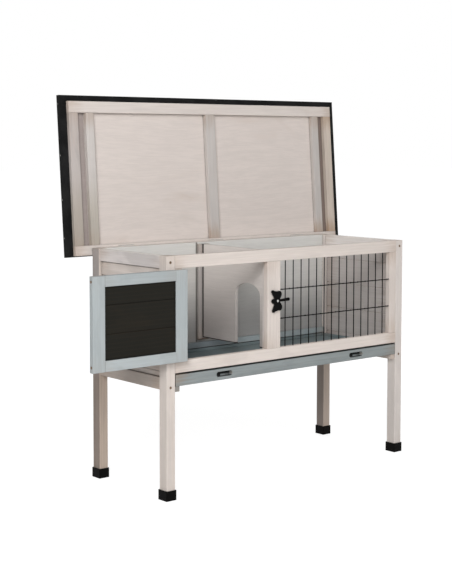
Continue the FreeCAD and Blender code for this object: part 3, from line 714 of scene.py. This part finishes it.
# Painted shadow on the divider at its back edge and along its foot, and painted shade darker towards the bottom
DIVIDER_SHADE = [
    behind(front_face("back_kick_strip") - 0.0003, 0.0005, (70, 70, 70)),
    below(foot("divider") + 0.0022, 0.0008, (76, 72, 68)),
    below(foot("divider") + 0.019, 0.20, (200, 199, 200)),
]
SHEETS = {
    "lid_deck": ("lid_x", DECK_PLY, {"patches": 0.55, "bands": DECK_SHADOWS}),
    "back_panel": ("x", BACK_PLY, {"bands": BACK_PANEL_SHADE, "front_only": True}),
    "divider": ("y", DIVIDER_PLY, {"bands": DIVIDER_SHADE}),
    "tray_floor": ("x", TRAY_FLOOR, {"bands": LEFT_ROOM_SHADE}),
}


# Materials that several nodes and pieces share

PLASTIC = black_plastic("black_plastic")
GLOSSY_PLASTIC = black_plastic("glossy_plastic", rough=(0.30, 0.45))
WIRE = coated_wire("black_wire")
FELT = roofing_felt("roofing_felt")
STEEL = plated_steel("zinc_steel", (150, 150, 148), (190, 189, 185), (120, 96, 72), 0.8)
PALE_STEEL = plated_steel("pale_steel", (186, 182, 177), (206, 200, 194), (150, 130, 110), 0.25)
DARK_STEEL = plated_steel("dark_steel", (104, 84, 66), (128, 106, 84), (84, 58, 40), 0.4)
DULL_ZINC = plated_steel("dull_zinc", (116, 116, 114), (146, 145, 142), (110, 90, 72), 0.6)


def give(node, material):
    """Puts one material in every slot of a node's object."""
    slots = NODES[node].material_slots
    if not slots:
        NODES[node].data.materials.append(material)
    for slot in slots:
        slot.material = material


def dress_nodes():
    for seed, (node, (grain, paint, look)) in enumerate(sorted(TIMBER.items())):
        give(node, painted_timber(node, grain, paint, seed, **look))
    for seed, (node, (grain, paint, look)) in enumerate(sorted(SHEETS.items())):
        give(node, plywood(node, grain, paint, seed, **look))
    for node in NODES:
        if node.endswith("_foot") or node == "turn_button":
            give(node, PLASTIC)
        elif node == "wire_front":
            give(node, WIRE)
        elif node == "lid_felt":
            give(node, FELT)
        elif node.startswith("lid_hinge"):
            give(node, PALE_STEEL)
        elif node not in TIMBER and node not in SHEETS:
            give(node, STEEL)


# Mesh helpers

def add_piece(name, bm, material, body):
    bmesh.ops.recalc_face_normals(bm, faces=bm.faces)
    mesh = bpy.data.meshes.new(name)
    bm.to_mesh(mesh)
    bm.free()
    mesh.shade_smooth()
    mesh.materials.append(material)
    piece = bpy.data.objects.new(name, mesh)
    bpy.context.scene.collection.objects.link(piece)
    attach(piece, body)
    return piece


def ring(bm, points, place):
    return [bm.verts.new(place @ Vector(point)) for point in points]


def join_rings(bm, first, second):
    count = len(first)
    for index in range(count):
        after = (index + 1) % count
        bm.faces.new((first[index], first[after], second[after], second[index]))


def close_ring(bm, points, place, height):
    tip = bm.verts.new(place @ Vector((0, 0, height)))
    for index in range(len(points)):
        bm.faces.new((points[index], points[(index + 1) % len(points)], tip))


def stack_rings(bm, rings, place, first_height, last_height):
    """Joins each ring to the next, and closes the first and the last at a point on the axis."""
    for first, second in zip(rings, rings[1:]):
        join_rings(bm, first, second)
    close_ring(bm, rings[0], place, first_height)
    close_ring(bm, rings[-1], place, last_height)


def circle_points(radius, height, count):
    turns = [2 * math.pi * index / count for index in range(count)]
    return [(radius * math.cos(turn), radius * math.sin(turn), height) for turn in turns]


def facing_place(point, facing, turn=0.0):
    """A placing that turns the z axis to where a piece faces."""
    quaternion = Vector(facing).to_track_quat("Z", "X")
    return Matrix.Translation(point) @ quaternion.to_matrix().to_4x4() @ Matrix.Rotation(turn, 4, "Z")


def extremes(points):
    """The lowest and the highest corner of the box round some points."""
    low = Vector([min(point[axis] for point in points) for axis in range(3)])
    high = Vector([max(point[axis] for point in points) for axis in range(3)])
    return low, high


# Screws with a cross recess, whose arms are shares of the head's radius

CROSS_POINTS = 24
CROSS_LENGTH = 0.62
CROSS_WIDTH = 0.17
CROSS_DEPTH = 0.0011
WOOD_SCREW_HEAD = 0.002
BUTTON_SCREW_HEAD = 0.0004
BUTTON_SCREW_DOME = 0.002
HEAD_RIM = 0.0002
HEAD_ZONE = 0.0024
SAME_POINT = 1e-6


def cross_points(length, width, height):
    """A cross with as many points as a screw's circle, at about the same turns."""
    middle = (length + width) / 2
    quarter = [
        (length, 0),
        (length, width),
        (middle, width),
        (width, width),
        (width, middle),
        (width, length),
    ]
    points = []
    for turn in range(4):
        cosine = round(math.cos(turn * QUARTER_TURN))
        sine = round(math.sin(turn * QUARTER_TURN))
        points += [(x * cosine - y * sine, x * sine + y * cosine, height) for x, y in quarter]
    return points


def cross_screw(bm, place, length, head_radius, shank_radius, head_depth, dome):
    """A screw with its head's face at height 0, or domed above it, and its point below."""
    long_arm = head_radius * CROSS_LENGTH
    short_arm = head_radius * CROSS_WIDTH
    crown = dome * 0.75
    floor = crown - CROSS_DEPTH
    profile = [
        (head_radius * 0.82, dome * 0.45),
        (head_radius * 0.97, dome * 0.1),
        (head_radius, -HEAD_RIM),
        (head_radius * 0.96, -2 * HEAD_RIM),
        (shank_radius, -head_depth),
        (shank_radius, -length + 2 * shank_radius),
    ]
    rings = [
        ring(bm, cross_points(long_arm * 0.75, short_arm * 0.7, floor), place),
        ring(bm, cross_points(long_arm, short_arm, crown), place),
    ]
    rings += [ring(bm, circle_points(radius, height, CROSS_POINTS), place) for radius, height in profile]
    stack_rings(bm, rings, place, floor, -length)


def loose_parts(node):
    """The corners of each separate solid in a node's mesh."""
    bm = bmesh.new()
    bm.from_mesh(NODES[node].data)
    bmesh.ops.remove_doubles(bm, verts=bm.verts, dist=SAME_POINT)
    left = set(bm.verts)
    parts = []
    while left:
        reached = [left.pop()]
        part = []
        while reached:
            vertex = reached.pop()
            part.append(vertex.co.copy())
            for edge in vertex.link_edges:
                other = edge.other_vert(vertex)
                if other in left:
                    left.remove(other)
                    reached.append(other)
        parts.append(part)
    bm.free()
    return sorted(parts, key=lambda part: tuple(round(value, 4) for value in part_middle(part)))


def part_middle(part):
    low, high = extremes(part)
    return (low + high) / 2


def width_from(point, middle, axis):
    across = point - middle
    across[axis] = 0
    return across.length


def screw_in(part):
    """Where a solid screw has its head, which way that faces, and its length and radii."""
    low, high = extremes(part)
    middle = (low + high) / 2
    axis = max(range(3), key=lambda number: high[number] - low[number])
    ends = []
    for side in (-1, 1):
        outer = max(side * point[axis] for point in part)
        near = [point for point in part if outer - side * point[axis] < HEAD_ZONE]
        ends.append((max(width_from(point, middle, axis) for point in near), side, outer))
    head_radius, side, outer = max(ends)
    shank_radius = min(ends)[0]
    head = middle.copy()
    head[axis] = side * outer
    facing = Vector((0, 0, 0))
    facing[axis] = side
    return head, facing, high[axis] - low[axis], head_radius, shank_radius


def detailed_screws(node, body, material, head_depth, dome=0.0):
    """Screws with a recess in place of a node's plain ones, each turned as it happened to be driven."""
    draw = random.Random(node)
    bm = bmesh.new()
    for part in loose_parts(node):
        head, facing, length, head_radius, shank_radius = screw_in(part)
        turn = draw.uniform(0, QUARTER_TURN)
        place = facing_place(head - facing * dome, facing, turn)
        cross_screw(bm, place, length - dome, head_radius, shank_radius, head_depth, dome)
    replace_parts(add_piece(node + "_cross_head", bm, material, body), node)


# Nails on the roofing felt

NAIL_RADIUS = 0.0034
NAIL_RISE = 0.0006
NAIL_SIDES = 12
NAIL_INSET = 0.012
NAILS_ALONG = 11
NAILS_ACROSS = 6
NAIL_SINK = 0.0003
NAIL_WANDER = (0.003, 0.002)
NAIL_LEAN = 0.05
SIDE_NAIL_DROP = 0.006
SIDE_NAIL_SINK = 0.0002
SIDE_NAIL_WANDER = 0.01
SIDE_NAILS_FROM_FRONT = (0.03, 0.16)
SIDE_NAILS_FROM_REAR = (0.16, 0.06)


def open_lid_place():
    """Turns what is built on the closed lid about the hinge line to the open one."""
    back = Matrix.Translation(HINGE_LINE)
    return back @ Matrix.Rotation(-LID_ANGLE, 4, "X") @ back.inverted()


def nail_head(bm, place, radius, rise):
    profile = [(radius * 0.45, rise), (radius * 0.85, rise * 0.7), (radius, rise * 0.15), (radius, -rise)]
    rings = [ring(bm, circle_points(width, height, NAIL_SIDES), place) for width, height in profile]
    stack_rings(bm, rings, place, rise * 1.05, -3 * rise)


def felt_nails():
    """Flat headed nails along the felt's rim, on its outer face and down its edges."""
    draw = random.Random(5)
    lid = open_lid_place()
    shut = lid.inverted()
    low, high = extremes([shut @ vertex.co for vertex in NODES["lid_felt"].data.vertices])
    across = high.x - low.x - 2 * NAIL_INSET
    deep = high.y - low.y - 2 * NAIL_INSET
    spots = []
    for index in range(NAILS_ALONG):
        x = low.x + NAIL_INSET + across * index / (NAILS_ALONG - 1)
        spots += [(x, low.y + NAIL_INSET), (x, high.y - NAIL_INSET)]
    for index in range(1, NAILS_ACROSS - 1):
        y = low.y + NAIL_INSET + deep * index / (NAILS_ACROSS - 1)
        spots += [(low.x + NAIL_INSET, y), (high.x - NAIL_INSET, y)]
    bm = bmesh.new()
    for x, y in spots:
        x += draw.uniform(-NAIL_WANDER[0], NAIL_WANDER[0])
        y += draw.uniform(-NAIL_WANDER[1], NAIL_WANDER[1])
        lean = (draw.uniform(-NAIL_LEAN, NAIL_LEAN), draw.uniform(-NAIL_LEAN, NAIL_LEAN), 1)
        place = lid @ facing_place(Vector((x, y, high.z - NAIL_SINK)), lean)
        nail_head(bm, place, NAIL_RADIUS, NAIL_RISE)
    rows = [low.y + gap for gap in SIDE_NAILS_FROM_FRONT] + [high.y - gap for gap in SIDE_NAILS_FROM_REAR]
    for row in rows:
        for edge, side in ((low.x, -1), (high.x, 1)):
            y = row + draw.uniform(-SIDE_NAIL_WANDER, SIDE_NAIL_WANDER)
            spot = Vector((edge - side * SIDE_NAIL_SINK, y, high.z - SIDE_NAIL_DROP))
            nail_head(bm, lid @ facing_place(spot, (side, 0, 0)), NAIL_RADIUS * 0.6, NAIL_RISE * 0.7)
    add_piece("felt_nails", bm, DULL_ZINC, "lid")


# Weld beads on the wire front

WIRE_GAPS = 14
WIRE_PITCH = 0.0284
WIRE_ROWS = (0.421, 0.497)
WELD_SIZE = Vector((0.0021, 0.0016, 0.0021))
WELD_SWELL = 0.18
WELD_LUMPS = 1.7
WELD_SPREAD = 400


def wire_welds():
    """A small uneven bead where each upright wire meets a cross wire."""
    draw = random.Random(9)
    bm = bmesh.new()
    bay_middle = (right_edge("middle_stile") + left_edge("right_stile")) / 2
    first = bay_middle - WIRE_GAPS * WIRE_PITCH / 2
    low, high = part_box("wire_front")
    for column in range(WIRE_GAPS + 1):
        for row in WIRE_ROWS:
            centre = Vector((first + WIRE_PITCH * column, (low.y + high.y) / 2, row))
            size = WELD_SIZE * draw.uniform(0.9, 1.1)
            made = bmesh.ops.create_icosphere(bm, subdivisions=2, radius=1.0)
            for vertex in made["verts"]:
                swell = 1.0 + WELD_SWELL * noise.noise(vertex.co * WELD_LUMPS + centre * WELD_SPREAD)
                vertex.co = centre + Vector([a * b * swell for a, b in zip(vertex.co, size)])
    add_piece("wire_welds", bm, WIRE, "body")


# The turn button, as moulded

RIM_WIDTH = 0.0013
RIM_RISE = 0.0007
SAME_LEVEL = 1e-5
MOULD_VOXEL = 0.0004
MOULD_SMOOTHING = 5
MOULD_FACES_KEPT = 0.3


def moulded_button():
    """The butterfly with a raised rim, and every edge rounded as a mould leaves it."""
    bm = bmesh.new()
    bm.from_mesh(NODES["turn_button"].data)
    bmesh.ops.remove_doubles(bm, verts=bm.verts, dist=SAME_POINT)
    bmesh.ops.dissolve_limit(bm, angle_limit=math.radians(1), verts=bm.verts, edges=bm.edges)
    face_level = min(vertex.co.y for vertex in bm.verts)
    front = [face for face in bm.faces if abs(face.calc_center_median().y - face_level) < SAME_LEVEL]
    bmesh.ops.inset_region(bm, faces=front, thickness=RIM_WIDTH, depth=0.0, use_even_offset=True)
    for vertex in {vertex for face in front for vertex in face.verts}:
        vertex.co.y += RIM_RISE
    piece = add_piece("turn_button_moulded", bm, GLOSSY_PLASTIC, "turn_button")
    remesh = piece.modifiers.new("remesh", "REMESH")
    remesh.mode = "VOXEL"
    remesh.voxel_size = MOULD_VOXEL
    smooth = piece.modifiers.new("smooth", "SMOOTH")
    smooth.factor = 0.5
    smooth.iterations = MOULD_SMOOTHING
    thinned = piece.modifiers.new("thinned", "DECIMATE")
    thinned.ratio = MOULD_FACES_KEPT
    shaped = bpy.data.meshes.new_from_object(piece.evaluated_get(bpy.context.evaluated_depsgraph_get()))
    piece.modifiers.clear()
    piece.data = shaped
    shaped.shade_smooth()
    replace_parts(piece, "turn_button")


def make_details():
    detailed_screws("post_screws", "body", DARK_STEEL, WOOD_SCREW_HEAD)
    detailed_screws("door_screws", "door", DARK_STEEL, WOOD_SCREW_HEAD)
    detailed_screws("turn_button_screw", "body", STEEL, BUTTON_SCREW_HEAD, BUTTON_SCREW_DOME)
    felt_nails()
    wire_welds()
    moulded_button()


# Light and surroundings

OBJECT_MIDDLE = (0.41, 0.14, 0.50)
LAMPS = [
    ("key", (-2.4, -2.4, 2.6), 1.4, 88),
    ("camera_side", (-2.6, -2.8, 1.5), 1.4, 40),
    ("front", (1.2, -3.8, 1.5), 1.8, 36),
    ("behind", (2.4, 3.0, 2.4), 2.0, 48),
]
WORLD_STRENGTH = 0.14
FLOOR_REACH = 30.0
SHADOW_MIDDLE = (0.4, 0.15, 0.0)
SHADOW_NEAR = 0.6
SHADOW_FAR = 2.6
SHADOW_GLOW = 0.88
FLOOR_DIM = (0.30, 0.30, 0.30, 1.0)


def area_light(name, place, size, power):
    """A square lamp that points at the middle of the hutch."""
    data = bpy.data.lights.new(name, "AREA")
    data.shape = "SQUARE"
    data.size = size
    data.energy = power
    lamp = bpy.data.objects.new(name, data)
    lamp.location = place
    direction = Vector(OBJECT_MIDDLE) - lamp.location
    lamp.rotation_euler = direction.to_track_quat("-Z", "Y").to_euler()
    bpy.context.scene.collection.objects.link(lamp)


def straight_ray(graph):
    """One for what the camera sees, itself or in gloss or through glass, and nought for other light."""
    path = graph.add("LightPath")
    seen = graph.math("MAXIMUM", path.outputs["Is Camera Ray"], path.outputs["Is Glossy Ray"])
    return graph.math("MAXIMUM", seen, path.outputs["Is Transmission Ray"])


def make_world():
    """A dim world for the light, seen as white."""
    world = bpy.data.worlds.new("studio")
    world.use_nodes = True
    graph = Graph(world.node_tree)
    background = graph.add("Background")
    graph.put(WHITE, background.inputs["Color"])
    strength = graph.remap(straight_ray(graph), 0.0, 1.0, WORLD_STRENGTH, 1.0)
    graph.put(strength, background.inputs["Strength"])
    graph.put(background.outputs[0], graph.add("OutputWorld").inputs["Surface"])
    bpy.context.scene.world = world


def floor_material():
    """A pale floor that is seen as white further out, and keeps a soft shadow under the hutch."""
    material = bpy.data.materials.new("floor")
    material.use_nodes = True
    graph = Graph(material.node_tree)
    place = graph.add("TexCoord").outputs["Object"]
    diffuse = graph.add("BsdfDiffuse")
    cloud = graph.noise(place, 1.5, 3.0, 0.5)
    graph.put(graph.mix(cloud, srgb(232, 231, 229), srgb(238, 237, 236)), diffuse.inputs["Color"])

    away = graph.add("VectorMath", operation="DISTANCE")
    graph.put(place, away.inputs[0])
    graph.put(SHADOW_MIDDLE, away.inputs[1])
    glow = graph.add("Emission")
    graph.put(WHITE, glow.inputs["Color"])
    strength = graph.remap(away.outputs["Value"], SHADOW_NEAR, SHADOW_FAR, SHADOW_GLOW, 1.0)
    graph.put(strength, glow.inputs["Strength"])
    dim = graph.add("BsdfDiffuse")
    graph.put(FLOOR_DIM, dim.inputs["Color"])
    added = graph.add("AddShader")
    graph.put(glow.outputs[0], added.inputs[0])
    graph.put(dim.outputs[0], added.inputs[1])

    mixed = graph.add("MixShader")
    graph.put(straight_ray(graph), mixed.inputs[0])
    graph.put(diffuse.outputs[0], mixed.inputs[1])
    graph.put(added.outputs[0], mixed.inputs[2])
    graph.put(mixed.outputs[0], graph.add("OutputMaterial").inputs["Surface"])
    return material


def make_floor():
    mesh = bpy.data.meshes.new("floor")
    reach = FLOOR_REACH
    corners = [(-reach, -reach, 0), (reach, -reach, 0), (reach, reach, 0), (-reach, reach, 0)]
    mesh.from_pydata(corners, [], [(0, 1, 2, 3)])
    mesh.materials.append(floor_material())
    floor = bpy.data.objects.new("floor", mesh)
    bpy.context.scene.collection.objects.link(floor)


def light_scene():
    for name, place, size, power in LAMPS:
        area_light(name, place, size, power)
    make_world()
    make_floor()


make_camera()
dress_nodes()
make_details()
light_scene()
bpy.context.scene.view_settings.view_transform = "Standard"
